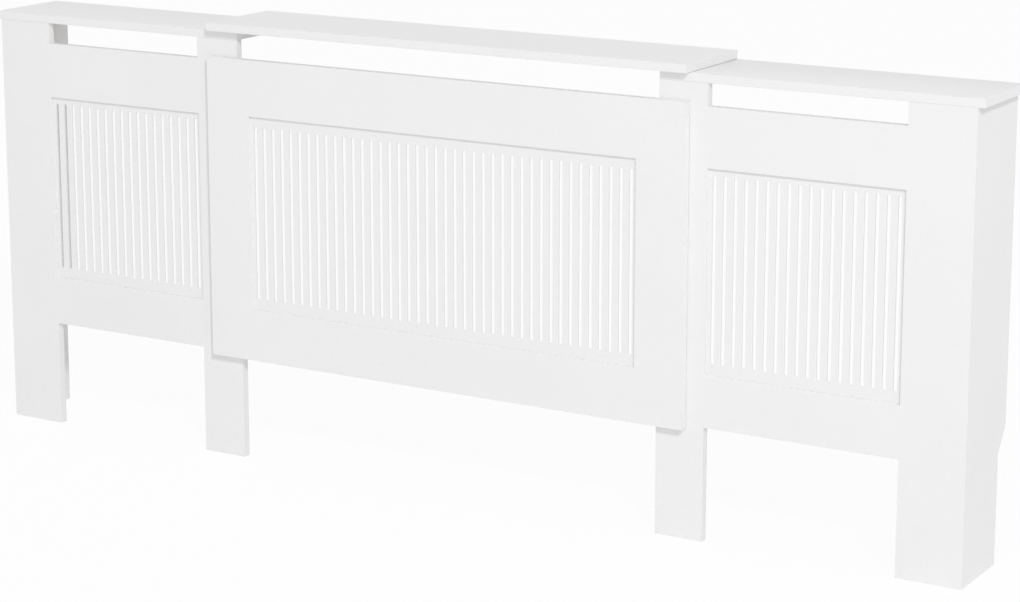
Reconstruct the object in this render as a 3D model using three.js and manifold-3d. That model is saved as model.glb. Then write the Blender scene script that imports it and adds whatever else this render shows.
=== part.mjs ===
// Extendable radiator cover in painted board: a centre section with its own panel and shelf,
// and a left and a right end section that slide out from behind it. Millimetres, +Z up.
// The origin is on the floor under the middle of the cover. The wall is on the +Y side.
import * as THREE from "three";
import { mergeVertices } from "three/addons/utils/BufferGeometryUtils.js";
import Module from "manifold-3d";

// Overall size, with both end sections drawn right out
const OVERALL_WIDTH = 2000;
const OVERALL_DEPTH = 190;
const OVERALL_HEIGHT = 815;
const BOARD = 15; // thickness of every panel and shelf
const SEAT = 0.3; // gap between pieces that are fixed together
const SLIDE = 0.5; // running gap between the centre section and the end sections
const EASED_EDGE = 1; // rounding along the edges of the shelves and battens

// End sections, counted from the outer end towards the middle
const SHELF_OVERHANG = 12; // of the shelf past the side panel
const OUTER_STILE = 115;
const SIDE_WINDOW_WIDTH = 351; // also the width of the vent above and of the gap between the legs
const INNER_STILE = 90;
const LEG_HEIGHT = 200; // floor to the underside of the bottom rail
const SIDE_BOTTOM_RAIL = 91;
const SIDE_TOP_RAIL = 103;
const SIDE_VENT = 38.5; // open height between the top rail and the shelf
const SKIRTING_DEPTH = 30; // notch at the back of the side panel that clears the skirting board
const SKIRTING_HEIGHT = 190;
const SKIRTING_CHAMFER = 42; // rise of the slope above the notch

// Centre section
const STILE_OVERLAP = 57; // how far the centre panel covers each inner stile
const CENTRE_STILE = 92;
const CENTRE_LIFT = 194; // floor to the underside of the centre panel
const CENTRE_BOTTOM_RAIL = 97;
const CENTRE_TOP_RAIL = 103;
const CENTRE_VENT = 47; // open height between the centre panel and its shelf

// Slotted grilles, let into a rebate round the back of each window
const GRILLE_LIP = 5; // board left in front of the grille
const REBATE = 10; // width of the rebate round the window
const GRILLE_BOARD = 3;
const SLOT_WIDTH = 6.5;
const SLOT_PITCH = 19.3;
const SLOT_RISE = 19; // from the bottom of a window to the bottom of its slots
const SLOT_DROP = 12; // from the top of a side window to the top of the slots, which line up all along
const SLOT_MARGIN = 5; // least width of grille between a slot and the side of the window
const BEAD_ROUND = 5; // radius of the beads that hold a grille in its rebate

// Guide tracks let into the back of the centre panel and the underside of its shelf
const TRACK_WIDTH = 19;
const TRACK_DEPTH = 7.7;
const TRACK_WALL = 2;
const TRACK_LIP = 1.7; // thickness of the two lips beside the mouth
const TRACK_MOUTH = 7.2;
const TRACK_END = 8; // board left past each end of a track
const SHELF_TRACK_INSET = 47.5; // from the front of the centre shelf to the middle of its track

// Clamps: a bolt whose head slides in a track, with a washer and a wing nut
const CLAMP_INSET = 21; // from the end of the centre panel to the bolts
const SHANK_RADIUS = 3;
const HEAD_LENGTH = 13;
const HEAD_THICKNESS = 3;
const SHANK_TIP = 3; // shank showing past the nut
const WASHER_RADIUS = 8;
const WASHER_THICKNESS = 1.2;
const NUT_BASE_RADIUS = 5.6;
const NUT_TOP_RADIUS = 4.6;
const NUT_HEIGHT = 8;
const WING_REACH = 10.2; // from the bolt's axis to the middle of a wing's ear
const WING_RADIUS = 3.8;
const WING_THICKNESS = 2.4;
const WING_FOOT = 1; // from the nut's face to the bottom of a wing
const WING_SHOULDER = 0.8; // from the nut's top down to the top of a wing's root
const EAR_START = -Math.PI / 3; // where the round edge of an ear starts and ends, turned from level
const EAR_END = 0.72 * Math.PI;

// Battens and angle brackets inside the end sections
const BATTEN = 18;
const CORNER_BATTEN_LIFT = 30; // floor to the bottom of the corner batten
const BATTEN_END = 28; // board left past a batten's free end, so that it doesn't show in the vent
const ANGLE_LEG = 25;
const ANGLE_THICKNESS = 2;
const ANGLE_ROUND = 2; // radius inside the bend
const ANGLE_WIDTH = 20;
const WALL_ANGLE_WIDTH = 30;
const SCREW_HOLE_RADIUS = 2.2;
const BRACKET_INSET = 17; // from the window to the middle of the bracket on the inner stile

// three.js draws an arc with twice as many facets as its curveSegments.
const ARC_STEPS = 6; // facets in a half-round slot end
const ROUND_STEPS = 24; // facets round a washer, nut or shank

// Places along X, as distances from the middle
const OUTER_END = OVERALL_WIDTH / 2 - SHELF_OVERHANG;
const WINDOW_OUTER = OUTER_END - OUTER_STILE;
const WINDOW_INNER = WINDOW_OUTER - SIDE_WINDOW_WIDTH;
const INNER_END = WINDOW_INNER - INNER_STILE;
const CENTRE_END = INNER_END + STILE_OVERLAP;
const CENTRE_WINDOW_END = CENTRE_END - CENTRE_STILE;
const CLAMP_X = CENTRE_END - CLAMP_INSET;

// Places along Y, from the front of the centre panel to the wall
const CENTRE_FRONT = -OVERALL_DEPTH / 2;
const CENTRE_BACK = CENTRE_FRONT + BOARD;
const SIDE_FRONT = CENTRE_BACK + SLIDE;
const SIDE_BACK = SIDE_FRONT + BOARD;
const WALL = OVERALL_DEPTH / 2;
const SHELF_TRACK_Y = CENTRE_FRONT + SHELF_TRACK_INSET;

// Heights
const CENTRE_SHELF_BOTTOM = OVERALL_HEIGHT - BOARD;
const SIDE_SHELF_TOP = CENTRE_SHELF_BOTTOM - SLIDE;
const SIDE_SHELF_BOTTOM = SIDE_SHELF_TOP - BOARD;
const BOARD_TOP = SIDE_SHELF_BOTTOM - SEAT; // top of what carries a side shelf
const SIDE_RAIL_TOP = SIDE_SHELF_BOTTOM - SIDE_VENT;
const SIDE_HEAD = SIDE_RAIL_TOP - SIDE_TOP_RAIL;
const SIDE_SILL = LEG_HEIGHT + SIDE_BOTTOM_RAIL;
const CENTRE_TOP = CENTRE_SHELF_BOTTOM - CENTRE_VENT;
const CENTRE_HEAD = CENTRE_TOP - CENTRE_TOP_RAIL;
const CENTRE_SILL = CENTRE_LIFT + CENTRE_BOTTOM_RAIL;
const SLOT_LENGTH = SIDE_HEAD - SIDE_SILL - SLOT_RISE - SLOT_DROP;
const UPPER_TRACK_Z = CENTRE_HEAD + CENTRE_TOP_RAIL / 2;
const LOWER_TRACK_Z = CENTRE_LIFT + CENTRE_BOTTOM_RAIL / 2;

// Height of the channel inside a track, and where the shoulder of a bolt's head stands in it
const TRACK_CHANNEL = TRACK_WIDTH - 2 * TRACK_WALL;
const HEAD_SHOULDER = TRACK_LIP + SEAT;

const paintedBoard = new THREE.MeshStandardMaterial({ color: 0xf1f1f1, roughness: 0.45, metalness: 0 });
const grilleBoard = new THREE.MeshStandardMaterial({ color: 0xf0f0f0, roughness: 0.5, metalness: 0 });
const battenWood = new THREE.MeshStandardMaterial({ color: 0xcfae7d, roughness: 0.75, metalness: 0 });
const aluminium = new THREE.MeshStandardMaterial({ color: 0xb9bcbf, roughness: 0.35, metalness: 1 });
const zincSteel = new THREE.MeshStandardMaterial({ color: 0xb4b7b4, roughness: 0.4, metalness: 1 });

const wasm = await Module();
wasm.setup();

// A three.js geometry as a solid that can be joined and cut.
function solid(geometry) {
  const bare = geometry.index ? geometry.toNonIndexed() : geometry.clone();
  bare.deleteAttribute("normal");
  bare.deleteAttribute("uv");
  const merged = mergeVertices(bare, 1e-4);
  const mesh = new wasm.Mesh({
    numProp: 3,
    vertProperties: merged.attributes.position.array,
    triVerts: new Uint32Array(merged.index.array),
  });
  return new wasm.Manifold(mesh);
}

// The named mesh of a geometry, or of a solid that has been joined and cut.
function piece(name, shape, material) {
  let geometry = shape;
  if (!shape.isBufferGeometry) {
    const { vertProperties, triVerts } = shape.getMesh();
    geometry = new THREE.BufferGeometry();
    geometry.setAttribute("position", new THREE.BufferAttribute(vertProperties, 3));
    geometry.setIndex(new THREE.BufferAttribute(triVerts, 1));
    geometry = geometry.toNonIndexed();
    geometry.computeVertexNormals();
  }
  const mesh = new THREE.Mesh(geometry, material);
  mesh.name = name;
  return mesh;
}

// A closed outline from its corners.
function outline(corners) {
  return new THREE.Shape(corners.map(([u, v]) => new THREE.Vector2(u, v)));
}

function rectangle(u0, u1, v0, v1) {
  return outline([[u0, v0], [u1, v0], [u1, v1], [u0, v1]]);
}

// A plain block between two corners.
function block(x0, x1, y0, y1, z0, z1) {
  const geometry = new THREE.BoxGeometry(x1 - x0, y1 - y0, z1 - z0);
  return geometry.translate((x0 + x1) / 2, (y0 + y1) / 2, (z0 + z1) / 2);
}

// A block with rounded arrises.
function easedBlock(x0, x1, y0, y1, z0, z1) {
  const geometry = new THREE.ExtrudeGeometry(rectangle(x0, x1, y0, y1), {
    depth: z1 - z0 - 2 * EASED_EDGE,
    bevelThickness: EASED_EDGE,
    bevelSize: EASED_EDGE,
    bevelOffset: -EASED_EDGE,
    bevelSegments: 2,
  });
  return geometry.translate(0, 0, z0 + EASED_EDGE);
}

// An outline in X and Z, made into an upright board from y0 back to y1.
function upright(shape, y0, y1) {
  const options = { depth: y1 - y0, bevelEnabled: false, curveSegments: ARC_STEPS / 2 };
  return new THREE.ExtrudeGeometry(shape, options).rotateX(Math.PI / 2).translate(0, y1, 0);
}

// An outline in Y and Z, made into a bar from x0 to x1.
function bar(shape, x0, x1) {
  const options = { depth: x1 - x0, bevelEnabled: false, curveSegments: ARC_STEPS / 2 };
  const geometry = new THREE.ExtrudeGeometry(shape, options);
  return geometry.rotateX(Math.PI / 2).rotateZ(Math.PI / 2).translate(x0, 0, 0);
}

// A round bar from the origin along +Z.
function peg(bottomRadius, topRadius, length) {
  const geometry = new THREE.CylinderGeometry(topRadius, bottomRadius, length, ROUND_STEPS);
  return geometry.rotateX(Math.PI / 2).translate(0, 0, length / 2);
}

// A cutter for a round hole along Z, which reaches two thicknesses either way from the origin.
function drill(radius, thickness) {
  return peg(radius, radius, 4 * thickness).translate(0, 0, -2 * thickness);
}

// The two ends of a stretch along X on one side of the cover, in rising order.
function stretch(side, near, far) {
  return side > 0 ? [near, far] : [-far, -near];
}

// ---- Grilles -------------------------------------------------------------------------------

// The rebate cut round the back of a window, with the grille lip left in front.
function windowRebate(x0, x1, sill, head, front) {
  const back = front + BOARD;
  const lip = front + GRILLE_LIP;
  return solid(block(x0 - REBATE, x1 + REBATE, lip, back + BOARD, sill - REBATE, head + REBATE));
}

// An upright slot with half-round ends.
function slot(x, z) {
  const r = SLOT_WIDTH / 2;
  const hole = new THREE.Path();
  hole.absarc(x, z + r, r, Math.PI, 2 * Math.PI, false);
  hole.absarc(x, z + SLOT_LENGTH - r, r, 0, Math.PI, false);
  return hole;
}

// A thin board with a row of slots, seated in the rebate of a window.
function grille(x0, x1, sill, head, front) {
  const reach = REBATE - SEAT;
  const shape = rectangle(x0 - reach, x1 + reach, sill - reach, head + reach);
  const room = x1 - x0 - 2 * SLOT_MARGIN - SLOT_WIDTH;
  const gaps = Math.floor(room / SLOT_PITCH);
  const middle = (x0 + x1) / 2;
  for (let i = 0; i <= gaps; i += 1) {
    shape.holes.push(slot(middle + (i - gaps / 2) * SLOT_PITCH, sill + SLOT_RISE));
  }
  const face = front + GRILLE_LIP + SEAT;
  return upright(shape, face, face + GRILLE_BOARD);
}

// A quadrant section, with its square corner at the origin and its arms along the two axes.
function quadrant(armU, armV) {
  const signU = Math.sign(armU);
  const signV = Math.sign(armV);
  const round = new THREE.Vector2(armU - signU * BEAD_ROUND, armV - signV * BEAD_ROUND);
  const points = [[0, 0], [armU, 0]];
  for (let i = 0; i <= ARC_STEPS; i += 1) {
    const turn = (i / ARC_STEPS) * (Math.PI / 2);
    points.push([
      round.x + signU * BEAD_ROUND * Math.cos(turn),
      round.y + signV * BEAD_ROUND * Math.sin(turn),
    ]);
  }
  points.push([0, armV]);
  return outline(signU * signV > 0 ? points : points.reverse());
}

// Four quadrant beads that hold a grille in its rebate, the long ones across the full width.
function grilleBeads(owner, x0, x1, sill, head, front) {
  const reach = REBATE - SEAT;
  const face = front + GRILLE_LIP + SEAT + GRILLE_BOARD + SEAT;
  const depth = front + BOARD - face;
  const width = reach - SEAT;
  const low = sill - reach;
  const high = head + reach;
  const bottom = bar(quadrant(depth, width), x0 - reach, x1 + reach).translate(0, face, low);
  const top = bar(quadrant(depth, -width), x0 - reach, x1 + reach).translate(0, face, high);
  const length = high - low - 2 * (width + SEAT);
  const post = (arm) => new THREE.ExtrudeGeometry(quadrant(arm, depth), {
    depth: length,
    bevelEnabled: false,
  }).translate(0, face, low + width + SEAT);
  const left = post(width).translate(x0 - reach, 0, 0);
  const right = post(-width).translate(x1 + reach, 0, 0);
  return Object.entries({ bottom, top, left, right }).map(([place, geometry]) =>
    piece(`${owner}_grille_bead_${place}`, geometry, paintedBoard));
}

// ---- Guide tracks and clamps ---------------------------------------------------------------

// Section of a track: a channel with two lips, its mouth at v = 0 and its floor at v = depth.
function trackSection() {
  const half = TRACK_WIDTH / 2;
  const wall = TRACK_CHANNEL / 2;
  const mouth = TRACK_MOUTH / 2;
  const floor = TRACK_DEPTH - TRACK_WALL;
  return outline([
    [half, 0], [half, TRACK_DEPTH], [-half, TRACK_DEPTH], [-half, 0], [-mouth, 0], [-mouth, TRACK_LIP],
    [-wall, TRACK_LIP], [-wall, floor], [wall, floor], [wall, TRACK_LIP], [mouth, TRACK_LIP], [mouth, 0],
  ]);
}

// A track along X whose mouth looks down, with the mouth on z = 0.
function track() {
  const reach = CENTRE_END - TRACK_END - SEAT;
  return bar(trackSection(), -reach, reach);
}

// The groove for a track whose mouth looks down, with the board's face on z = 0.
function trackGroove() {
  const reach = CENTRE_END - TRACK_END;
  const half = TRACK_WIDTH / 2 + SEAT;
  return block(-reach, reach, -half, half, -BOARD, TRACK_DEPTH + SEAT);
}

// A bolt along -Z: its head is inside the track above z = 0, its shank goes down through the board.
function clampBolt() {
  const width = TRACK_CHANNEL - 2 * SEAT;
  const head = block(
    -HEAD_LENGTH / 2, HEAD_LENGTH / 2, -width / 2, width / 2, HEAD_SHOULDER, HEAD_SHOULDER + HEAD_THICKNESS,
  );
  const tip = SLIDE + BOARD + SEAT + WASHER_THICKNESS + SEAT + NUT_HEIGHT + SHANK_TIP;
  const shank = peg(SHANK_RADIUS, SHANK_RADIUS, tip + HEAD_SHOULDER + HEAD_THICKNESS / 2);
  return solid(head).add(solid(shank.translate(0, 0, -tip)));
}

function washer() {
  const shape = new THREE.Shape().absarc(0, 0, WASHER_RADIUS, 0, 2 * Math.PI, false);
  shape.holes.push(new THREE.Path().absarc(0, 0, SHANK_RADIUS + SEAT, 0, 2 * Math.PI, false));
  const options = { depth: WASHER_THICKNESS, bevelEnabled: false, curveSegments: ROUND_STEPS / 2 };
  const top = -SLIDE - BOARD - SEAT;
  return new THREE.ExtrudeGeometry(shape, options).translate(0, 0, top - WASHER_THICKNESS);
}

// A tapered boss with two wings that lean outwards, each rooted in the middle of the boss's wall.
function wingNut() {
  const bore = SHANK_RADIUS + SEAT;
  const root = (NUT_TOP_RADIUS + bore) / 2;
  const ear = new THREE.Shape();
  ear.moveTo(root, WING_FOOT);
  ear.lineTo(NUT_BASE_RADIUS, WING_FOOT);
  ear.absarc(WING_REACH, NUT_HEIGHT, WING_RADIUS, EAR_START, EAR_END, false);
  ear.lineTo(root, NUT_HEIGHT - WING_SHOULDER);
  const options = { depth: WING_THICKNESS, bevelEnabled: false, curveSegments: ARC_STEPS };
  const wing = new THREE.ExtrudeGeometry(ear, options).translate(0, 0, -WING_THICKNESS / 2);
  wing.rotateX(Math.PI / 2);
  const nut = solid(peg(NUT_BASE_RADIUS, NUT_TOP_RADIUS, NUT_HEIGHT))
    .add(solid(wing))
    .add(solid(wing.clone().rotateZ(Math.PI)))
    .subtract(solid(drill(bore, NUT_HEIGHT)));
  const face = -SLIDE - BOARD - SEAT - WASHER_THICKNESS - SEAT;
  return nut.rotate([180, 0, 0]).translate([0, 0, face]);
}

// The bolt, washer and wing nut of one clamp, turned about X and moved to its place.
function clamp(owner, place, turn, x, y, z, wingsTurned) {
  const shapes = {
    clamp_bolt: clampBolt(),
    clamp_washer: washer(),
    wing_nut: wingsTurned ? wingNut().rotate([0, 0, 90]) : wingNut(),
  };
  return Object.entries(shapes).map(([kind, shape]) => {
    const mesh = piece(`${owner}_${place}_${kind}`, shape, zincSteel);
    mesh.rotation.x = turn;
    mesh.position.set(x, y, z);
    return mesh;
  });
}

// The hole through a board for a clamp's shank, along Z.
function clampHole() {
  return drill(SHANK_RADIUS + SEAT, BOARD);
}

// ---- Centre section ------------------------------------------------------------------------

function centreFrontPanel() {
  const shape = rectangle(-CENTRE_END, CENTRE_END, CENTRE_LIFT, CENTRE_TOP);
  shape.holes.push(rectangle(-CENTRE_WINDOW_END, CENTRE_WINDOW_END, CENTRE_SILL, CENTRE_HEAD));
  let panel = solid(upright(shape, CENTRE_FRONT, CENTRE_BACK));
  panel = panel.subtract(
    windowRebate(-CENTRE_WINDOW_END, CENTRE_WINDOW_END, CENTRE_SILL, CENTRE_HEAD, CENTRE_FRONT),
  );
  for (const z of [UPPER_TRACK_Z, LOWER_TRACK_Z]) {
    const groove = trackGroove().rotateX(Math.PI / 2).translate(0, CENTRE_BACK, z);
    panel = panel.subtract(solid(groove));
  }
  return piece("centre_front_panel", panel, paintedBoard);
}

function centreShelf() {
  const top = easedBlock(-CENTRE_END, CENTRE_END, CENTRE_FRONT, WALL, CENTRE_SHELF_BOTTOM, OVERALL_HEIGHT);
  const groove = trackGroove().translate(0, SHELF_TRACK_Y, CENTRE_SHELF_BOTTOM);
  return piece("centre_shelf", solid(top).subtract(solid(groove)), paintedBoard);
}

function centreTracks() {
  const places = { upper_panel: UPPER_TRACK_Z, lower_panel: LOWER_TRACK_Z };
  const tracks = Object.entries(places).map(([place, z]) => {
    const mesh = piece(`${place}_track`, track(), aluminium);
    mesh.rotation.x = Math.PI / 2;
    mesh.position.set(0, CENTRE_BACK, z);
    return mesh;
  });
  const shelfTrack = piece("shelf_track", track(), aluminium);
  shelfTrack.position.set(0, SHELF_TRACK_Y, CENTRE_SHELF_BOTTOM);
  return [...tracks, shelfTrack];
}

function centreSection() {
  const window = [-CENTRE_WINDOW_END, CENTRE_WINDOW_END, CENTRE_SILL, CENTRE_HEAD, CENTRE_FRONT];
  const group = new THREE.Group();
  group.add(
    centreFrontPanel(),
    centreShelf(),
    piece("centre_grille", grille(...window), grilleBoard),
    ...grilleBeads("centre", ...window),
    ...centreTracks(),
  );
  return group;
}

// ---- End sections --------------------------------------------------------------------------

// Two legs that run up to the shelf, joined by two rails round the window.
function sideFrontPanel(owner, side) {
  const [x0, x1] = stretch(side, INNER_END, OUTER_END);
  const [w0, w1] = stretch(side, WINDOW_INNER, WINDOW_OUTER);
  const shape = outline([
    [x0, 0], [w0, 0], [w0, LEG_HEIGHT], [w1, LEG_HEIGHT], [w1, 0], [x1, 0], [x1, BOARD_TOP],
    [w1, BOARD_TOP], [w1, SIDE_RAIL_TOP], [w0, SIDE_RAIL_TOP], [w0, BOARD_TOP], [x0, BOARD_TOP],
  ]);
  shape.holes.push(rectangle(w0, w1, SIDE_SILL, SIDE_HEAD));
  let panel = solid(upright(shape, SIDE_FRONT, SIDE_BACK));
  panel = panel.subtract(windowRebate(w0, w1, SIDE_SILL, SIDE_HEAD, SIDE_FRONT));
  for (const z of [UPPER_TRACK_Z, LOWER_TRACK_Z]) {
    const hole = clampHole().rotateX(Math.PI / 2).translate(side * CLAMP_X, SIDE_FRONT, z);
    panel = panel.subtract(solid(hole));
  }
  return piece(`${owner}_front_panel`, panel, paintedBoard);
}

// The board at the end, notched at the bottom of its back edge to clear the skirting board.
function sidePanel(owner, side) {
  const y0 = SIDE_BACK + SEAT;
  const notch = WALL - SKIRTING_DEPTH;
  const slope = SKIRTING_HEIGHT + SKIRTING_CHAMFER;
  const shape = outline([
    [y0, 0], [notch, 0], [notch, SKIRTING_HEIGHT], [WALL, slope], [WALL, BOARD_TOP], [y0, BOARD_TOP],
  ]);
  const [x0, x1] = stretch(side, OUTER_END - BOARD, OUTER_END);
  return piece(`${owner}_side_panel`, bar(shape, x0, x1), paintedBoard);
}

function sideShelf(owner, side) {
  const [x0, x1] = stretch(side, INNER_END, OVERALL_WIDTH / 2);
  const top = solid(easedBlock(x0, x1, SIDE_FRONT, WALL, SIDE_SHELF_BOTTOM, SIDE_SHELF_TOP));
  const hole = clampHole().translate(side * CLAMP_X, SHELF_TRACK_Y, SIDE_SHELF_TOP);
  return piece(`${owner}_shelf`, top.subtract(solid(hole)), paintedBoard);
}

// Battens in the corner and under the shelf, which the boards are screwed to.
function battens(owner, side) {
  const face = OUTER_END - BOARD - SEAT;
  const [c0, c1] = stretch(side, face - BATTEN, face);
  const [f0, f1] = stretch(side, WINDOW_OUTER + BATTEN_END, face - BATTEN - SEAT);
  const y0 = SIDE_BACK + SEAT;
  const y1 = y0 + BATTEN;
  const under = BOARD_TOP - BATTEN;
  const blocks = {
    corner_batten: easedBlock(c0, c1, y0, y1, CORNER_BATTEN_LIFT, under - SEAT),
    shelf_side_batten: easedBlock(c0, c1, y0, WALL - BATTEN_END, under, BOARD_TOP),
    shelf_front_batten: easedBlock(f0, f1, y0, y1, under, BOARD_TOP),
  };
  return Object.entries(blocks).map(([kind, shape]) => piece(`${owner}_${kind}`, shape, battenWood));
}

// A bent angle with one leg flat under a shelf and the other down the board behind or before it.
function angle(width) {
  const leg = ANGLE_LEG;
  const t = ANGLE_THICKNESS;
  const bend = t + ANGLE_ROUND;
  const section = new THREE.Shape();
  section.moveTo(leg, 0);
  section.lineTo(bend, 0);
  section.absarc(bend, -bend, bend, Math.PI / 2, Math.PI, false);
  section.lineTo(0, -leg);
  section.lineTo(t, -leg);
  section.absarc(bend, -bend, ANGLE_ROUND, Math.PI, Math.PI / 2, true);
  section.lineTo(leg, -t);
  const hole = drill(SCREW_HOLE_RADIUS, t);
  const along = (leg + bend) / 2;
  return solid(bar(section, -width / 2, width / 2))
    .subtract(solid(hole.clone().translate(0, along, -t / 2)))
    .subtract(solid(hole.clone().rotateX(Math.PI / 2).translate(0, t / 2, -along)));
}

function brackets(owner, side) {
  const stile = piece(`${owner}_stile_bracket`, angle(ANGLE_WIDTH), zincSteel);
  stile.position.set(side * (WINDOW_INNER - BRACKET_INSET), SIDE_BACK + SEAT, BOARD_TOP);
  const wall = piece(`${owner}_wall_bracket`, angle(WALL_ANGLE_WIDTH), zincSteel);
  wall.rotation.z = Math.PI;
  wall.position.set(side * (WINDOW_INNER + SIDE_WINDOW_WIDTH / 2), WALL, BOARD_TOP);
  return [stile, wall];
}

function endSection(owner, side) {
  const [w0, w1] = stretch(side, WINDOW_INNER, WINDOW_OUTER);
  const window = [w0, w1, SIDE_SILL, SIDE_HEAD, SIDE_FRONT];
  const group = new THREE.Group();
  group.add(
    sideFrontPanel(owner, side),
    sidePanel(owner, side),
    sideShelf(owner, side),
    piece(`${owner}_grille`, grille(...window), grilleBoard),
    ...grilleBeads(owner, ...window),
    ...battens(owner, side),
    ...brackets(owner, side),
    ...clamp(owner, "upper", Math.PI / 2, side * CLAMP_X, CENTRE_BACK, UPPER_TRACK_Z, false),
    ...clamp(owner, "lower", Math.PI / 2, side * CLAMP_X, CENTRE_BACK, LOWER_TRACK_Z, false),
    ...clamp(owner, "shelf", 0, side * CLAMP_X, SHELF_TRACK_Y, CENTRE_SHELF_BOTTOM, true),
  );
  return group;
}

const radiatorCover = new THREE.Group();
radiatorCover.add(centreSection(), endSection("left", -1), endSection("right", 1));

export default radiatorCover;
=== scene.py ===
# The looks of the extendable radiator cover: white painted boards, slotted grilles, and the
# battens, brackets, tracks and clamps behind them. Everything is in metres and in the CAD frame:
# +X to the right, +Y back to the wall, +Z up.
import math

import bpy
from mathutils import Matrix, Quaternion, Vector


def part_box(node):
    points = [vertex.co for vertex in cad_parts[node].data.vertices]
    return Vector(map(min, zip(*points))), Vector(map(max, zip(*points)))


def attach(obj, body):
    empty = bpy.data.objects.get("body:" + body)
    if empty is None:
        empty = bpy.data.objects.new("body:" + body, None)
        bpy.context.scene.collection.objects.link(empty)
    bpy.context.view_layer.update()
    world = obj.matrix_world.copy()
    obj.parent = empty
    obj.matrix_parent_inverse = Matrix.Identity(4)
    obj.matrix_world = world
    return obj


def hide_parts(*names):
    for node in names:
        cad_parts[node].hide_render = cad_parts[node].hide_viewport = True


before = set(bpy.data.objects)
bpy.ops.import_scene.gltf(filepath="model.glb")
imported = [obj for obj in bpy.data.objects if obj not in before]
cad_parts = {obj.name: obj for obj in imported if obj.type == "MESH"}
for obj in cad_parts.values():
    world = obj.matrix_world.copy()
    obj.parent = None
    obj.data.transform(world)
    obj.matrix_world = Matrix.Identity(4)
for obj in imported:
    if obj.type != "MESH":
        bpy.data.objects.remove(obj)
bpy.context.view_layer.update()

MM = 0.001
SIDES = {"left": -1, "right": 1}
SECTIONS = ["centre", *SIDES]

# Boards and joints, as in the CAD model
SEAT = 0.3 * MM  # gap between pieces that are fixed together
LEG_HEIGHT = 200 * MM
SIDE_VENT = 38.5 * MM  # open height between an end section's top rail and its shelf
SKIRTING_NOTCH = (30 * MM, 190 * MM, 42 * MM)  # depth, height, and rise of the slope above
GRILLE_LIP = 5 * MM  # board left in front of the grille
REBATE = 10 * MM  # width of the rebate round the window
SLOT_WIDTH = 6.5 * MM
SLOT_PITCH = 19.3 * MM
SLOT_RISE = 19 * MM  # from the bottom of a window to the bottom of its slots
SLOT_LENGTH = 321 * MM
SLOT_MARGIN = 5 * MM  # least board between a window's side and its first slot
BEAD_ROUND = 5 * MM
TRACK_GROOVE = (19.6 * MM, 8 * MM)  # width and depth
TRACK_WALL = 2 * MM
TRACK_LIP = 1.7 * MM
TRACK_CHANNEL = 15 * MM
TRACK_MOUTH = 7.2 * MM
CLAMP_HOLE_RADIUS = 3.3 * MM

# Clamps, measured from the face that the track's mouth is in
BOLT_REACH = 28.3 * MM
HEAD_SIZE = (13 * MM, 14.4 * MM, 3 * MM)
HEAD_SEAT = 2 * MM  # from the mouth up to the head
THREAD = (3 * MM, 1 * MM, 0.55 * MM)  # radius, pitch and depth
WASHER = (8 * MM, 1.2 * MM)  # radius and thickness
WASHER_DROP = 15.8 * MM
NUT_DROP = 17.3 * MM
NUT_HEIGHT = 8 * MM
BOSS = (4.6 * MM, 5.6 * MM)  # the nut's radius at its free end and at its washer
EAR = (10.2 * MM, 3.8 * MM, 1.2 * MM)  # reach from the bolt, radius and half the thickness
NECK_SPAN = (3.8 * MM, 8.6 * MM)  # from the bolt to the neck's inner and outer ends
NECK_FALL = (7 * MM, 1.2 * MM)  # from the nut's face down to the neck's bottom and top
NECK_HALF = 1.3 * MM  # half its thickness
NECK_LEAN = 2.8 * MM

# Angle brackets and screws
ANGLE_THICKNESS = 2 * MM
ANGLE_ROUND = 2 * MM
SCREW_HOLE_RADIUS = 2.2 * MM
SCREW_HEAD = (3.6 * MM, 1.6 * MM)  # radius and height
SCREW_SINK = 0.3 * MM  # how far a countersunk head lies below the wood
SINK_POINT = 2  # how deep a countersink's cone comes to a point, in head heights
SINK_RIM = 1.55  # its radius one head height above the wood, in head radii
PAN_ROUND = 0.6  # rounding of a bracket screw's head, in head heights
CROSS_RECESS = (2.1 * MM, 0.45 * MM, 1.1 * MM)  # half its length, half its width, and depth
CROSS_TAPER = 0.4  # size of the recess's floor against its mouth

# Screws in the battens, each from the low end of its batten
CORNER_TO_FRONT = (70 * MM, 350 * MM, 630 * MM)
CORNER_TO_SIDE = (100 * MM, 380 * MM, 660 * MM)
SIDE_TO_SHELF = (45 * MM, 120 * MM)
SIDE_TO_SIDE = (35 * MM, 110 * MM)
FRONT_TO_SHELF = (15 * MM, 56 * MM)

# Edges
BOARD_ARRIS = 0.4 * MM  # rounding left by sanding a painted board's edges
SHELF_ARRIS = 0.7 * MM
GRILLE_ARRIS = 0.3 * MM
BATTEN_ARRIS = 1 * MM
BEAD_ARRIS = 0.2 * MM
METAL_ARRIS = 0.25 * MM
BOLT_HEAD_ARRIS = 0.4 * MM
SCREW_ARRIS = 0.08 * MM
CAST_ROUND = 0.6 * MM
JOINT_LINE = 0.05 * MM  # what shows of the seat where a shelf lies on its boards

# Working limits
THROUGH = 10 * MM  # how far a cutter reaches past a board
CLOSE = 0.01 * MM  # points nearer than this are in the same place
BISECT_LIMIT = 0.001 * MM
ANY_CORNER = 30  # degrees: an edge that turns by more is eased
TRUE_CORNER = 60  # degrees: only edges outside a rounding turn by more
FLAT_TURN = 50  # degrees: up to this, neighbouring faces are shaded as one
CAST_TURN = 40
THREAD_TURN = 30
SCREW_SIDES = 24  # of a screw's head, its hole and its countersink


# ---- Modelling ---------------------------------------------------------------------------------


def pick(piece):
    """Makes a piece the only selected object, and the active one."""
    bpy.ops.object.select_all(action="DESELECT")
    piece.select_set(True)
    bpy.context.view_layer.objects.active = piece


def settle(piece):
    """Puts a piece's place, turn and size into its mesh."""
    pick(piece)
    bpy.ops.object.transform_apply(location=True, rotation=True, scale=True)
    return piece


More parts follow.
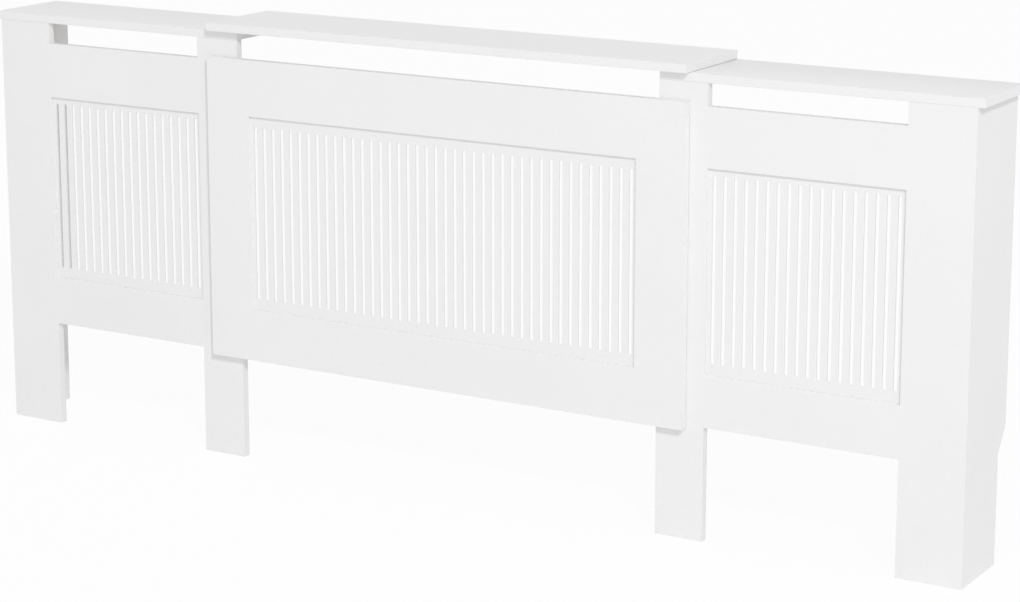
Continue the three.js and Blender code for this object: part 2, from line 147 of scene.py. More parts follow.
def cube(name, low, high):
    """A cube primitive between two corners."""
    low, high = Vector(low), Vector(high)
    bpy.ops.object.select_all(action="DESELECT")
    bpy.ops.mesh.primitive_cube_add(size=1, location=(low + high) / 2, scale=high - low)
    piece = bpy.context.object
    piece.name = piece.data.name = name
    return settle(piece)


def rod(name, start, end, radius, end_radius=None, sides=32):
    """A cylinder or cone primitive from one point to another."""
    start, end = Vector(start), Vector(end)
    run = end - start
    bpy.ops.object.select_all(action="DESELECT")
    bpy.ops.mesh.primitive_cone_add(
        vertices=sides,
        radius1=radius,
        radius2=radius if end_radius is None else end_radius,
        depth=run.length,
        location=(start + end) / 2,
        rotation=run.to_track_quat("Z", "Y").to_euler(),
    )
    piece = bpy.context.object
    piece.name = piece.data.name = name
    return settle(piece)


def apply(piece, kind, **settings):
    """Adds one modifier to a piece and applies it."""
    pick(piece)
    modifier = piece.modifiers.new(kind.title(), kind)
    for key, value in settings.items():
        setattr(modifier, key, value)
    bpy.ops.object.modifier_apply(modifier=modifier.name)
    return piece


def cut(piece, *cutters, how="DIFFERENCE"):
    """Takes the cutters away from a piece, or joins them to it, and deletes them."""
    for cutter in cutters:
        apply(piece, "BOOLEAN", operation=how, solver="EXACT", object=cutter)
        bpy.data.meshes.remove(cutter.data)
    return piece


def smooth(piece, turn):
    """Shades a piece smooth, but for the edges that turn by more than so many degrees."""
    pick(piece)
    bpy.ops.object.shade_smooth_by_angle(angle=math.radians(turn))
    return piece


def ease(piece, width, steps=2, turn=ANY_CORNER):
    """Rounds the edges that turn by more than so many degrees, and leaves the flats flat."""
    apply(
        piece,
        "BEVEL",
        width=width,
        segments=steps,
        limit_method="ANGLE",
        angle_limit=math.radians(turn),
        miter_outer="MITER_ARC",
        use_clamp_overlap=True,
    )
    smooth(piece, FLAT_TURN)
    return apply(piece, "WEIGHTED_NORMAL", mode="FACE_AREA", keep_sharp=True)


def edit(piece, kind, wanted, operator, **settings):
    """Runs an editing operator with only the wanted edges or faces of a piece selected."""
    pick(piece)
    bpy.ops.object.mode_set(mode="EDIT")
    bpy.ops.mesh.select_mode(type=kind)
    bpy.ops.mesh.select_all(action="DESELECT")
    bpy.ops.object.mode_set(mode="OBJECT")
    points = [vertex.co for vertex in piece.data.vertices]
    for part in piece.data.edges if kind == "EDGE" else piece.data.polygons:
        part.select = wanted([points[i] for i in part.vertices])
    bpy.ops.object.mode_set(mode="EDIT")
    operator(**settings)
    bpy.ops.object.mode_set(mode="OBJECT")
    return piece


def everything(corners):
    """The test that each edge and face passes."""
    return True


def on(axis, level):
    """A test for edges and faces: whether all their corners lie on a plane square to an axis."""
    return lambda corners: all(abs(getattr(corner, axis) - level) < CLOSE for corner in corners)


def within(axis, low, high):
    """A test for edges and faces: whether all their corners lie between two levels of an axis."""
    return lambda corners: all(low < getattr(corner, axis) < high for corner in corners)


def both(first, second):
    """A test that holds where two others do."""
    return lambda corners: first(corners) and second(corners)


def round_off(piece, radius, wanted, steps=8):
    """Rounds the wanted edges of a piece."""
    bevel = {"offset": radius, "segments": steps, "affect": "EDGES"}
    return edit(piece, "EDGE", wanted, bpy.ops.mesh.bevel, **bevel)


def push(piece, move, wanted):
    """Extrudes the wanted faces of a piece."""
    extrude = {"TRANSFORM_OT_translate": {"value": move}}
    return edit(piece, "FACE", wanted, bpy.ops.mesh.extrude_region_move, **extrude)


def copied(pattern, name, towards, at, spin=0):
    """A copy of a pattern made at the origin, with its +Z turned towards a direction."""
    piece = pattern.copy()
    piece.data = pattern.data.copy()
    piece.name = piece.data.name = name
    bpy.context.scene.collection.objects.link(piece)
    turn = Vector(towards).to_track_quat("Z", "Y") @ Quaternion((0, 0, 1), spin)
    piece.rotation_euler = turn.to_euler()
    piece.location = at
    return settle(piece)


def joined(name, pieces):
    """One or more pieces made into one object."""
    pick(pieces[0])
    for piece in pieces:
        piece.select_set(True)
    if len(pieces) > 1:
        bpy.ops.object.join()
    pieces[0].name = pieces[0].data.name = name
    return pieces[0]


def place(piece, body, material, slot, *nodes):
    """Gives a finished piece its material and its body, and hides the CAD nodes that it stands for.
    """
    piece.data.materials.clear()
    piece.data.materials.append(material)
    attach(piece, body)
    if nodes:
        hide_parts(*nodes)
    return piece


# ---- Materials ---------------------------------------------------------------------------------


def linear(code):
    """An sRGB hex value as a linear colour."""
    parts = [int(code[i : i + 2], 16) / 255 for i in (1, 3, 5)]
    return [*(c / 12.92 if c <= 0.04045 else ((c + 0.055) / 1.055) ** 2.4 for c in parts), 1]


def add(tree, kind, inputs=None, **settings):
    """Adds a node with its settings. An input is a value, or a socket that is linked to it."""
    made = tree.nodes.new(kind)
    for key, value in settings.items():
        setattr(made, key, value)
    for key, value in (inputs or {}).items():
        if isinstance(value, bpy.types.NodeSocket):
            tree.links.new(value, made.inputs[key])
        else:
            made.inputs[key].default_value = value
    return made


def bare_material(name):
    """A new material with only an output node, and that node."""
    material = bpy.data.materials.new(name)
    material.use_nodes = True
    material.node_tree.nodes.clear()
    return material, material.node_tree, add(material.node_tree, "ShaderNodeOutputMaterial")


MIXED = 2  # the Mix node's output for colours


def satin_sprayed_fibreboard(name, colour, shade, roughness, peel):
    """Satin acrylic paint, sprayed on medium-density fibreboard and sanded between coats. The eye
    gets an even, low sheen, a faint orange peel, and cloudy patches where the coat is thicker.
    The real peel is about 1 mm across and much shallower: it is drawn so that it shows."""
    cloud_size, peel_size, peel_depth = 180 * MM, 3 * MM, 0.3 * MM
    dullest, glossiest = roughness + 0.05, roughness - 0.05
    material, tree, output = bare_material(name)
    place_on = add(tree, "ShaderNodeTexCoord").outputs["Object"]
    clouds = add(
        tree,
        "ShaderNodeTexNoise",
        {"Vector": place_on, "Scale": 1 / cloud_size, "Detail": 3},
    )
    grain = add(
        tree,
        "ShaderNodeTexNoise",
        {"Vector": place_on, "Scale": 1 / peel_size, "Detail": 2},
    )
    tone = add(
        tree,
        "ShaderNodeMapRange",
        {"Value": clouds.outputs["Fac"], "From Min": 0.3, "From Max": 0.7},
    )
    paint = add(
        tree,
        "ShaderNodeMix",
        {"Factor": tone.outputs["Result"], "A": linear(shade), "B": linear(colour)},
        data_type="RGBA",
    )
    sheen = add(
        tree,
        "ShaderNodeMapRange",
        {"Value": clouds.outputs["Fac"], "To Min": glossiest, "To Max": dullest},
    )
    bump = add(
        tree,
        "ShaderNodeBump",
        {"Height": grain.outputs["Fac"], "Strength": peel, "Distance": peel_depth},
    )
    shader = add(
        tree,
        "ShaderNodeBsdfPrincipled",
        {
            "Base Color": paint.outputs[MIXED],
            "Roughness": sheen.outputs["Result"],
            "IOR": 1.47,
            "Normal": bump.outputs["Normal"],
        },
    )
    tree.links.new(shader.outputs["BSDF"], output.inputs["Surface"])
    return material


def planed_pine(name, along):
    """Planed, unfinished pine battens. The eye gets light and dark bands of growth, drawn out along
    the grain, and a fine fibre that takes the shine off. The bands are at the coarse end of what
    pine has, so that they show."""
    band_width, wander_size, fibre_size = 3 * MM, 20 * MM, 0.8 * MM
    half_wave = 0.16  # length of half a wave of the rings at scale 1
    grain_stretch = 0.03  # scale of the pattern along the grain
    stretch = [1, 1, 1]
    stretch["XYZ".index(along)] = grain_stretch
    material, tree, output = bare_material(name)
    place_on = add(tree, "ShaderNodeTexCoord").outputs["Object"]
    grain = add(tree, "ShaderNodeMapping", {"Vector": place_on, "Scale": stretch})
    wander = add(
        tree,
        "ShaderNodeTexNoise",
        {"Vector": grain.outputs["Vector"], "Scale": 1 / wander_size},
    )
    rings = add(
        tree,
        "ShaderNodeTexWave",
        {
            "Vector": grain.outputs["Vector"],
            "Scale": half_wave / band_width,
            "Distortion": 4,
            "Detail": 2,
            "Detail Scale": 1.5,
        },
        wave_type="RINGS",
        rings_direction=along,
    )
    fibre = add(
        tree,
        "ShaderNodeTexNoise",
        {"Vector": grain.outputs["Vector"], "Scale": 1 / fibre_size},
    )
    growth = add(
        tree,
        "ShaderNodeMix",
        {"Factor": rings.outputs["Fac"], "A": linear("#E2CA9E"), "B": linear("#C8A06A")},
        data_type="RGBA",
    )
    wood = add(
        tree,
        "ShaderNodeMix",
        {"Factor": wander.outputs["Fac"], "A": growth.outputs[MIXED], "B": linear("#D9BC8B")},
        data_type="RGBA",
    )
    bump = add(
        tree,
        "ShaderNodeBump",
        {"Height": fibre.outputs["Fac"], "Strength": 0.4, "Distance": 0.1 * MM},
    )
    shader = add(
        tree,
        "ShaderNodeBsdfPrincipled",
        {
            "Base Color": wood.outputs[MIXED],
            "Roughness": 0.72,
            "IOR": 1.5,
            "Normal": bump.outputs["Normal"],
        },
    )
    tree.links.new(shader.outputs["BSDF"], output.inputs["Surface"])
    return material


def mill_finish_aluminium(name):
    """Aluminium as it leaves the extrusion die. The eye gets a dull grey metal with fine lines
    along the way that it was pressed through the die, here X."""
    line_width, line_stretch = 0.6 * MM, 0.004
    material, tree, output = bare_material(name)
    place_on = add(tree, "ShaderNodeTexCoord").outputs["Object"]
    drawn = add(tree, "ShaderNodeMapping", {"Vector": place_on, "Scale": (line_stretch, 1, 1)})
    lines = add(
        tree,
        "ShaderNodeTexNoise",
        {"Vector": drawn.outputs["Vector"], "Scale": 1 / line_width},
    )
    tone = add(
        tree,
        "ShaderNodeMix",
        {"Factor": lines.outputs["Fac"], "A": linear("#C4C6C8"), "B": linear("#DADCDD")},
        data_type="RGBA",
    )
    gloss = add(
        tree,
        "ShaderNodeMapRange",
        {"Value": lines.outputs["Fac"], "To Min": 0.3, "To Max": 0.48},
    )
    bump = add(
        tree,
        "ShaderNodeBump",
        {"Height": lines.outputs["Fac"], "Strength": 0.25, "Distance": 0.03 * MM},
    )
    shader = add(
        tree,
        "ShaderNodeBsdfPrincipled",
        {
            "Base Color": tone.outputs[MIXED],
            "Metallic": 1,
            "Roughness": gloss.outputs["Result"],
            "Normal": bump.outputs["Normal"],
        },
    )
    tree.links.new(shader.outputs["BSDF"], output.inputs["Surface"])
    return material


def bright_zinc_steel(name, light, dark):
    """Pressed or turned steel with a thin zinc plate. The eye gets a pale metal that is a little
    cloudy, finely pitted and never mirror bright."""
    cloud_size, pit_size = 6 * MM, 0.5 * MM
    material, tree, output = bare_material(name)
    place_on = add(tree, "ShaderNodeTexCoord").outputs["Object"]
    cloud = add(
        tree,
        "ShaderNodeTexNoise",
        {"Vector": place_on, "Scale": 1 / cloud_size, "Detail": 4},
    )
    pits = add(tree, "ShaderNodeTexNoise", {"Vector": place_on, "Scale": 1 / pit_size})
    tone = add(
        tree,
        "ShaderNodeMix",
        {"Factor": cloud.outputs["Fac"], "A": linear(dark), "B": linear(light)},
        data_type="RGBA",
    )
    gloss = add(
        tree,
        "ShaderNodeMapRange",
        {"Value": cloud.outputs["Fac"], "To Min": 0.26, "To Max": 0.45},
    )
    bump = add(
        tree,
        "ShaderNodeBump",
        {"Height": pits.outputs["Fac"], "Strength": 0.15, "Distance": 0.02 * MM},
    )
    shader = add(
        tree,
        "ShaderNodeBsdfPrincipled",
        {
            "Base Color": tone.outputs[MIXED],
            "Metallic": 1,
            "Roughness": gloss.outputs["Result"],
            "Normal": bump.outputs["Normal"],
        },
    )
    tree.links.new(shader.outputs["BSDF"], output.inputs["Surface"])
    return material


PAINT = satin_sprayed_fibreboard(
    "satin_sprayed_fibreboard", colour="#F2F2F2", shade="#F0F0F0", roughness=0.42, peel=0.8
)
GRILLE_PAINT = satin_sprayed_fibreboard(
    "satin_sprayed_thin_board", colour="#F1F1F1", shade="#F0F0F0", roughness=0.48, peel=0.6
)
PINE = {along: planed_pine(f"planed_pine_along_{along.lower()}", along) for along in "XYZ"}
ALUMINIUM = mill_finish_aluminium("mill_finish_aluminium")
ZINC = bright_zinc_steel("bright_zinc_steel", light="#C9CBCB", dark="#B2B5B6")


# ---- Boards ------------------------------------------------------------------------------------


def window(owner):
    """The lowest and highest corners of the opening through a section's front panel."""
    low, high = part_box(f"{owner}_grille")
    front, back = (corner.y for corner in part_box(f"{owner}_front_panel"))
    hidden = REBATE - SEAT
    return (
        Vector((low.x + hidden, front, low.z + hidden)),
        Vector((high.x - hidden, back, high.z - hidden)),
    )


def clamp_axis(owner, level):
    """The middle of a clamp's bolt."""
    low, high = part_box(f"{owner}_{level}_clamp_bolt")
    return (low + high) / 2


def front_board(owner):
    """A front panel: its window, the rebate behind it, and its grooves or its legs and vent."""
    low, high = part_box(f"{owner}_front_panel")
    if owner != "centre":
        high.z += SEAT - JOINT_LINE
    sill, head = window(owner)
    board = cube(f"{owner}_front_board", low, high)
    reach = Vector((0, THROUGH, 0))
    opening = cube("opening", sill - reach, head + reach)
    rebate = cube(
        "rebate",
        (sill.x - REBATE, low.y + GRILLE_LIP, sill.z - REBATE),
        (head.x + REBATE, high.y + THROUGH, head.z + REBATE),
    )
    cut(board, opening, rebate)
    if owner == "centre":
        width, depth = TRACK_GROOVE
        for level in ("upper", "lower"):
            start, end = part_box(f"{level}_panel_track")
            middle = (start.z + end.z) / 2
            groove = cube(
                "groove",
                (start.x - SEAT, high.y - depth, middle - width / 2),
                (end.x + SEAT, high.y + THROUGH, middle + width / 2),
            )
            cut(board, groove)
    else:
        front, back = low.y - THROUGH, high.y + THROUGH
        leg_gap = cube("leg_gap", (sill.x, front, low.z - THROUGH), (head.x, back, LEG_HEIGHT))
        rail_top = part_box(f"{owner}_shelf")[0].z - SIDE_VENT
        vent = cube("vent", (sill.x, front, rail_top), (head.x, back, high.z + THROUGH))
        cut(board, leg_gap, vent)
        for level in ("upper", "lower"):
            at = clamp_axis(owner, level)
            hole = rod("hole", (at.x, front, at.z), (at.x, back, at.z), CLAMP_HOLE_RADIUS)
            cut(board, hole)
    ease(board, BOARD_ARRIS)
    place(board, f"{owner}_section", PAINT, "painted_board", f"{owner}_front_panel")


def shelf_board(owner):
    """A shelf with sanded edges, grooved underneath for its track or drilled for its clamp."""
    low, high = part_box(f"{owner}_shelf")
    board = cube(f"{owner}_shelf_board", low, high)
    ease(board, SHELF_ARRIS, steps=3)
    if owner == "centre":
        start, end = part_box("shelf_track")
        width, depth = TRACK_GROOVE
        middle = (start.y + end.y) / 2
        cutter = cube(
            "groove",
            (start.x - SEAT, middle - width / 2, low.z - THROUGH),
            (end.x + SEAT, middle + width / 2, low.z + depth),
        )
    else:
        at = clamp_axis(owner, "shelf")
        under, over = low.z - THROUGH, high.z + THROUGH
        cutter = rod("hole", (at.x, at.y, under), (at.x, at.y, over), CLAMP_HOLE_RADIUS)
    cut(board, cutter)
    place(board, f"{owner}_section", PAINT, "painted_board", f"{owner}_shelf")


def side_board(owner):
    """The end board, extruded upwards in three lifts so that its back edge clears the skirting."""
    low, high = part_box(f"{owner}_side_panel")
    low.y -= SEAT - JOINT_LINE
    high.z += SEAT - JOINT_LINE
    depth, height, slope = SKIRTING_NOTCH
    board = cube(f"{owner}_side_board", low, (high.x, high.y - depth, height))
    push(board, (0, 0, slope), on("z", height))
    back_edge = both(on("y", high.y - depth), on("z", height + slope))
    edit(board, "EDGE", back_edge, bpy.ops.transform.translate, value=(0, depth, 0))
    push(board, (0, 0, high.z - height - slope), on("z", height + slope))
    ease(board, BOARD_ARRIS)
    place(board, f"{owner}_section", PAINT, "painted_board", f"{owner}_side_panel")


def slotted_grille(owner):
    """A thin board with a row of round-ended slots, cut by one cutter repeated along it."""
    low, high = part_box(f"{owner}_grille")
    low.y -= SEAT - JOINT_LINE
    sill, head = window(owner)
    room = head.x - sill.x - 2 * SLOT_MARGIN - SLOT_WIDTH
    gaps = math.floor(room / SLOT_PITCH + 1e-6)  # a hair more, or an exact fit loses its last slot
    first = (sill.x + head.x - gaps * SLOT_PITCH) / 2
    bottom = sill.z + SLOT_RISE
    slot = cube(
        "slot",
        (first - SLOT_WIDTH / 2, low.y - THROUGH, bottom),
        (first + SLOT_WIDTH / 2, high.y + THROUGH, bottom + SLOT_LENGTH),
    )
    round_off(
        slot,
        SLOT_WIDTH / 2 - CLOSE,
        lambda ends: abs(ends[0].y - ends[1].y) > THROUGH,
        steps=6,
    )
    apply(
        slot,
        "ARRAY",
        count=gaps + 1,
        use_relative_offset=False,
        use_constant_offset=True,
        constant_offset_displace=(SLOT_PITCH, 0, 0),
    )
    grille = cut(cube(f"{owner}_slotted_grille", low, high), slot)
    ease(grille, GRILLE_ARRIS)
    place(grille, f"{owner}_section", GRILLE_PAINT, "grille_board", f"{owner}_grille")


def bead(owner, edge):
    """A quadrant bead: a strip with the long edge that stands free rounded over."""
    node = f"{owner}_grille_bead_{edge}"
    low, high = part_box(node)
    free = {
        "bottom": ("z", high.z),
        "top": ("z", low.z),
        "left": ("x", high.x),
        "right": ("x", low.x),
    }
    strip = cube(f"{owner}_{edge}_quadrant", low, high)
    round_off(strip, BEAD_ROUND, both(on("y", high.y), on(*free[edge])))
    ease(strip, BEAD_ARRIS, turn=TRUE_CORNER)
    place(strip, f"{owner}_section", PAINT, "painted_board", node)


# ---- Battens, brackets and screws --------------------------------------------------------------


def cross_recess(at, towards):
    """A cutter for the cross in a screw's head, whose mouth is at a point and faces a direction."""
    arm, thickness, depth = CROSS_RECESS
    cross = cube("cross", (-arm, -thickness, -depth), (arm, thickness, depth))
    cut(cross, cube("arm", (-thickness, -arm, -depth), (thickness, arm, depth)), how="UNION")
    taper = (CROSS_TAPER, CROSS_TAPER, 1)
    edit(cross, "FACE", on("z", -depth), bpy.ops.transform.resize, value=taper)
    cross.rotation_euler = Vector(towards).to_track_quat("Z", "Y").to_euler()
    cross.location = at
    return settle(cross)


def countersunk_screw():
    """The head of a wood screw, its flat on z = 0 and its cone below."""
    radius, height = SCREW_HEAD
    head = rod("countersunk_pattern", (0, 0, -height), (0, 0, 0), radius / 2, radius, SCREW_SIDES)
    cut(head, cross_recess((0, 0, 0), (0, 0, 1)))
    return ease(head, SCREW_ARRIS, steps=1)


def pan_screw():
    """The head of a screw that holds a bracket, its underside on z = 0 and its dome above."""
    radius, height = SCREW_HEAD
    head = rod("pan_pattern", (0, 0, 0), (0, 0, height), radius, radius, SCREW_SIDES)
    round_off(head, height * PAN_ROUND, on("z", height), steps=4)
    cut(head, cross_recess((0, 0, height), (0, 0, 1)))
    return ease(head, SCREW_ARRIS, steps=1)


def batten(owner, kind, along, screws):
    """A batten with eased edges, countersunk for its screws, and the screws' heads in it."""
    node = f"{owner}_{kind}"
    wood = cube(f"{owner}_{kind}_wood", *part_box(node))
    ease(wood, BATTEN_ARRIS, steps=3)
    radius, height = SCREW_HEAD
    sinks, heads = [], []
    for at, towards in screws:
        at, towards = Vector(at), Vector(towards)
        point, rim = at - towards * SINK_POINT * height, at + towards * height
        sinks.append(rod("sink", point, rim, 0, radius * SINK_RIM, SCREW_SIDES))
        heads.append(copied(COUNTERSUNK, "head", towards, at - towards * SCREW_SINK))
    cut(wood, joined("sinks", sinks))
    place(wood, f"{owner}_section", PINE[along], "batten_wood", node)
    place(joined(f"{owner}_{kind}_screws", heads), f"{owner}_section", ZINC, "zinc_steel")


def battens(owner):
    """The three battens of an end section, screwed to its boards and shelf from inside."""
    inward = (-SIDES[owner], 0, 0)
    low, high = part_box(f"{owner}_corner_batten")
    face = low.x if SIDES[owner] > 0 else high.x
    middle = (low + high) / 2
    screws = [((middle.x, high.y, low.z + rise), (0, 1, 0)) for rise in CORNER_TO_FRONT]
    screws += [((face, middle.y, low.z + rise), inward) for rise in CORNER_TO_SIDE]
    batten(owner, "corner_batten", "Z", screws)
    low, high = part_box(f"{owner}_shelf_side_batten")
    middle = (low + high) / 2
    screws = [((middle.x, low.y + run, low.z), (0, 0, -1)) for run in SIDE_TO_SHELF]
    screws += [((face, low.y + run, middle.z), inward) for run in SIDE_TO_SIDE]
    batten(owner, "shelf_side_batten", "Y", screws)
    low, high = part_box(f"{owner}_shelf_front_batten")
    middle = (low + high) / 2
    screws = [((low.x + run, middle.y, low.z), (0, 0, -1)) for run in FRONT_TO_SHELF]
    screws += [((middle.x, high.y, middle.z), (0, 1, 0))]
    batten(owner, "shelf_front_batten", "X", screws)


def bracket(owner, kind):
    """An angle bracket: a plate with one leg extruded down, bent round, drilled, and screwed on."""
    node = f"{owner}_{kind}_bracket"
    low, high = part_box(node)
    upright, inward = (low.y, 1) if kind == "stile" else (high.y, -1)
    under = high.z - ANGLE_THICKNESS
    bend = upright + inward * ANGLE_THICKNESS
    angle = cube(f"{owner}_{kind}_angle", (low.x, low.y, under), high)
    edit(
        angle,
        "FACE",
        everything,
        bpy.ops.mesh.bisect,
        plane_co=(0, bend, 0),
        plane_no=(0, 1, 0),
        threshold=BISECT_LIMIT,
    )
    near = within("y", upright - 2 * ANGLE_THICKNESS, upright + 2 * ANGLE_THICKNESS)
    push(angle, (0, 0, low.z - under), both(on("z", under), near))
    outside = both(on("y", upright), on("z", high.z))
    round_off(angle, ANGLE_THICKNESS + ANGLE_ROUND, outside)
    round_off(angle, ANGLE_ROUND, both(on("y", bend), on("z", under)))
    middle = (low + high) / 2
    drop = Vector((middle.x, middle.y + inward * ANGLE_THICKNESS, under))
    back = Vector((middle.x, bend, middle.z - ANGLE_THICKNESS))
    for at, axis in ((drop, Vector((0, 0, 1))), (back, Vector((0, 1, 0)))):
        reach = axis * THROUGH
        hole = rod("hole", at - reach, at + reach, SCREW_HOLE_RADIUS, sides=SCREW_SIDES)
        cut(angle, hole)
    ease(angle, METAL_ARRIS, turn=TRUE_CORNER)
    place(angle, f"{owner}_section", ZINC, "zinc_steel", node)
    heads = [copied(PAN, "head", (0, 0, -1), drop)]
    if kind == "stile":
        heads.append(copied(PAN, "head", (0, inward, 0), back))
    place(joined(f"{owner}_{kind}_bracket_screws", heads), f"{owner}_section", ZINC, "zinc_steel")


# ---- Tracks and clamps -------------------------------------------------------------------------


def track(name):
    """An extruded track: a bar with the bolts' channel and its mouth cut along it."""
    low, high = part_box(name)
    middle = (low + high) / 2
    under_shelf = name == "shelf_track"
    thickness = high.z - low.z if under_shelf else high.y - low.y
    bar = cube(f"{name}_extrusion", low, high)
    for width, start, end in (
        (TRACK_CHANNEL, TRACK_LIP, thickness - TRACK_WALL),
        (TRACK_MOUTH, -THROUGH, TRACK_LIP + SEAT),
    ):
        if under_shelf:
            corners = (
                (low.x - THROUGH, middle.y - width / 2, low.z + start),
                (high.x + THROUGH, middle.y + width / 2, low.z + end),
            )
        else:
            corners = (
                (low.x - THROUGH, high.y - end, middle.z - width / 2),
                (high.x + THROUGH, high.y - start, middle.z + width / 2),
            )
        cut(bar, cube("channel", *corners))
    ease(bar, METAL_ARRIS)
    place(bar, "centre_section", ALUMINIUM, "track_aluminium", name)


def threaded_shank(top, tip):
    """A V-shaped edge, screwed round the axis into a thread and cut square at both ends."""
    radius, pitch, depth = THREAD
    bpy.ops.object.select_all(action="DESELECT")
    bpy.ops.mesh.primitive_circle_add(vertices=4, radius=pitch / 2, rotation=(math.pi / 2, 0, 0))
    shank = settle(bpy.context.object)
    edit(shank, "EDGE", within("x", -pitch, CLOSE), bpy.ops.mesh.delete, type="EDGE")
    shank.scale.x = depth / (pitch / 2)
    shank.location = (radius - depth, 0, tip - pitch)
    settle(shank)
    turns = math.ceil((top - tip) / pitch) + 2
    apply(
        shank,
        "SCREW",
        axis="Z",
        screw_offset=pitch,
        iterations=turns,
        steps=16,
        render_steps=16,
    )
    edit(shank, "FACE", everything, bpy.ops.mesh.remove_doubles, threshold=CLOSE)
    for level, way in ((top, 1), (tip, -1)):
        edit(
            shank,
            "FACE",
            everything,
            bpy.ops.mesh.bisect,
            plane_co=(0, 0, level),
            plane_no=(0, 0, way),
            use_fill=True,
            clear_outer=True,
            threshold=BISECT_LIMIT,
        )
    return edit(shank, "FACE", everything, bpy.ops.mesh.normals_make_consistent, inside=False)


def clamp_bolt():
    """A clamp's bolt: a flat head that slides in a track, and a threaded shank below it."""
    length, width, height = HEAD_SIZE
    low = Vector((-length / 2, -width / 2, HEAD_SEAT))
    head = ease(cube("bolt_pattern", low, low + Vector(HEAD_SIZE)), BOLT_HEAD_ARRIS)
    cut(head, threaded_shank(HEAD_SEAT + height / 2, -BOLT_REACH), how="UNION")
    return smooth(head, THREAD_TURN)


def clamp_washer():
    """A flat washer with a plain bore."""
    radius, thickness = WASHER
    top = -WASHER_DROP
    disc = rod("washer_pattern", (0, 0, top - thickness), (0, 0, top), radius, sides=48)
    cut(disc, rod("bore", (0, 0, top - THROUGH), (0, 0, top + THROUGH), CLAMP_HOLE_RADIUS))
    return ease(disc, METAL_ARRIS)


def wing_nut():
    """A cast wing nut: a tapered boss with two ears on leaning necks, bored for the bolt."""
    top = -NUT_DROP
    foot = top - NUT_HEIGHT
    boss = rod("nut_pattern", (0, 0, foot), (0, 0, top), *BOSS, sides=40)
    ease(boss, CAST_ROUND, steps=3)
    reach, radius, half = EAR
    inner, outer = NECK_SPAN
    lowest, highest = NECK_FALL
    lean = (0, 0, -NECK_LEAN)
    for way in (1, -1):
        ends = (way * reach, -half, foot), (way * reach, half, foot)
        ear = ease(rod("ear", *ends, radius, sides=28), CAST_ROUND, steps=3)
        near, far = sorted((way * inner, way * outer))
        neck = cube("neck", (near, -NECK_HALF, top - lowest), (far, NECK_HALF, top - highest))
        edit(neck, "FACE", on("x", way * outer), bpy.ops.transform.translate, value=lean)
        ease(neck, CAST_ROUND, steps=3)
        cut(boss, ear, neck, how="UNION")
    cut(boss, rod("bore", (0, 0, top - 2 * THROUGH), (0, 0, top + THROUGH), CLAMP_HOLE_RADIUS))
    return smooth(boss, CAST_TURN)


def clamp(owner, level):
    """One clamp: copies of the bolt, washer and wing nut patterns, turned to their track."""
    low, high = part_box(f"{owner}_{level}_clamp_bolt")
    middle = (low + high) / 2
    if level == "shelf":
        at, towards = (middle.x, middle.y, low.z + BOLT_REACH), (0, 0, 1)
    else:
        at, towards = (middle.x, high.y - BOLT_REACH, middle.z), (0, -1, 0)
    for kind, pattern in CLAMP_PATTERNS.items():
        spin = math.pi / 2 if level == "shelf" and kind == "wing_nut" else 0
        piece = copied(pattern, f"{owner}_{level}_steel_{kind}", towards, at, spin)
        place(piece, f"{owner}_section", ZINC, "zinc_steel", f"{owner}_{level}_{kind}")


for section in SECTIONS:
    front_board(section)
    shelf_board(section)
    slotted_grille(section)
    for window_edge in ("bottom", "top", "left", "right"):
        bead(section, window_edge)
for track_name in ("upper_panel_track", "lower_panel_track", "shelf_track"):
    track(track_name)

COUNTERSUNK = countersunk_screw()
PAN = pan_screw()
CLAMP_PATTERNS = {
    "clamp_bolt": clamp_bolt(),
    "clamp_washer": clamp_washer(),
    "wing_nut": wing_nut(),
}
for section in SIDES:
    side_board(section)
    battens(section)
    bracket(section, "stile")
    bracket(section, "wall")
    for clamp_level in ("upper", "lower", "shelf"):
        clamp(section, clamp_level)
for pattern in (COUNTERSUNK, PAN, *CLAMP_PATTERNS.values()):
    bpy.data.meshes.remove(pattern.data)


# ---- Floor, light and camera -------------------------------------------------------------------

WHITE = (1, 1, 1, 1)


def seen_directly(tree):
    """A socket that is 1 for what the camera, a gloss or a glass sees, and 0 for other rays."""
    path = add(tree, "ShaderNodeLightPath")
    seen = path.outputs["Is Camera Ray"]
    for ray in ("Is Glossy Ray", "Is Transmission Ray"):
        either = add(tree, "ShaderNodeMath", {0: seen, 1: path.outputs[ray]}, operation="MAXIMUM")
        seen = either.outputs["Value"]
    return seen


def studio_floor(size, drop, whiteness):
    """A pale floor that looks white, with a trace of the cover's shadow."""
    bpy.ops.object.select_all(action="DESELECT")
    bpy.ops.mesh.primitive_plane_add(size=size, location=(0, 0, -drop))
    floor = bpy.context.object
    floor.name = "studio_floor"
    material, tree, output = bare_material("matt_white_floor")
    matt = add(tree, "ShaderNodeBsdfDiffuse", {"Color": linear("#F4F4F4")})
    white = add(tree, "ShaderNodeEmission", {"Color": WHITE, "Strength": 1})
    share = add(
        tree,
        "ShaderNodeMath",
        {0: seen_directly(tree), 1: whiteness},
        operation="MULTIPLY",
    )
    mixed = add(
        tree,
        "ShaderNodeMixShader",
        {"Fac": share.outputs["Value"], 1: matt.outputs["BSDF"], 2: white.outputs["Emission"]},
    )
    tree.links.new(mixed.outputs["Shader"], output.inputs["Surface"])
    floor.data.materials.append(material)
    settle(floor)


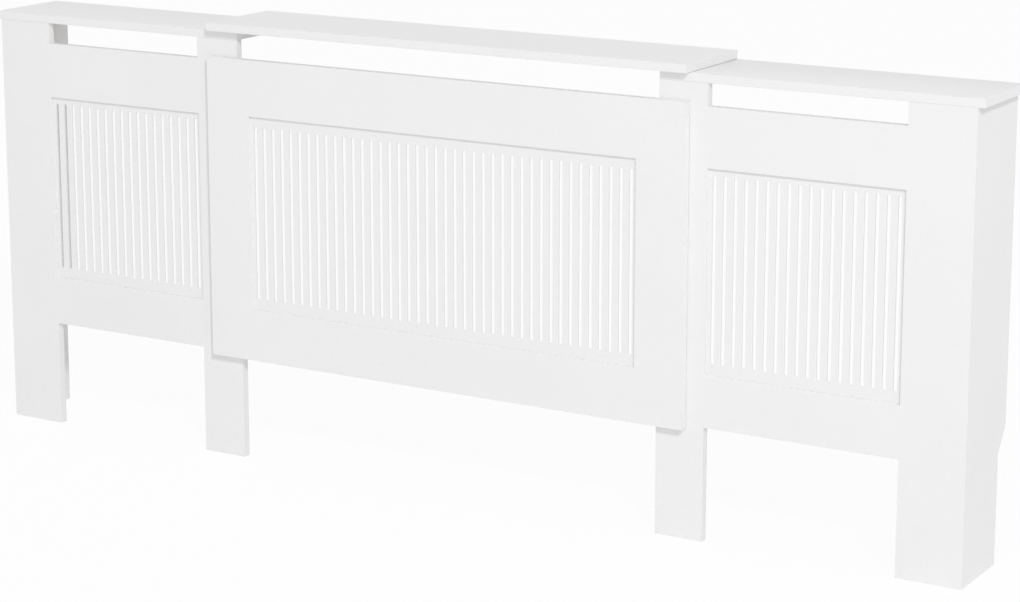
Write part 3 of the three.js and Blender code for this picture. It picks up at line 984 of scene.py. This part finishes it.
def studio_world(level):
    """Even light from all round, behind a white backdrop."""
    world = bpy.data.worlds.new("studio")
    world.use_nodes = True
    tree = world.node_tree
    tree.nodes.clear()
    output = add(tree, "ShaderNodeOutputWorld")
    room = add(tree, "ShaderNodeBackground", {"Color": WHITE, "Strength": level})
    backdrop = add(tree, "ShaderNodeBackground", {"Color": WHITE, "Strength": 1})
    mixed = add(
        tree,
        "ShaderNodeMixShader",
        {
            "Fac": seen_directly(tree),
            1: room.outputs["Background"],
            2: backdrop.outputs["Background"],
        },
    )
    tree.links.new(mixed.outputs["Shader"], output.inputs["Surface"])
    bpy.context.scene.world = world


def lamp(name, kind, towards):
    """A lamp at the origin that shines from a direction."""
    made = bpy.data.objects.new(name, bpy.data.lights.new(name, kind))
    made.rotation_euler = Vector(towards).to_track_quat("Z", "Y").to_euler()
    bpy.context.scene.collection.objects.link(made)
    return made


def key_light(at, power, width):
    """A round softbox, up and to the right of the camera."""
    softbox = lamp("key_light", "AREA", at)
    softbox.location = at
    softbox.data.shape = "DISK"
    softbox.data.energy = power
    softbox.data.size = width


def fill_light(towards, strength, softness):
    """A wide, weak light from in front."""
    wash = lamp("fill_light", "SUN", towards)
    wash.data.energy = strength
    wash.data.angle = math.radians(softness)


def photographer(at, heading, tilt):
    """The camera: a little above the shelves, to the right of the cover, with the photograph's
    crop. The picture shift is as much of the photograph's as the other views can take."""
    camera = bpy.data.objects.new("camera", bpy.data.cameras.new("camera"))
    camera.location = at
    camera.rotation_euler = (math.pi / 2 - math.radians(tilt), 0, math.radians(heading))
    camera.data.lens = 95.59
    camera.data.sensor_width = 36
    camera.data.shift_y = -0.1
    camera.data.clip_start, camera.data.clip_end = 0.1, 100
    bpy.context.scene.collection.objects.link(camera)
    bpy.context.scene.camera = camera


photographer(at=(2.4847, -3.9972, 1.4867), heading=30.85, tilt=11.574)
studio_floor(size=40, drop=0.2 * MM, whiteness=0.94)
# Levels at which the paint renders about as it is written
studio_world(level=0.634)
key_light(at=(7.1, -7.4, 7.5), power=533, width=1.3)
fill_light(towards=(0, -1, 0.1), strength=0.215, softness=60)
bpy.context.scene.view_settings.view_transform = "Standard"
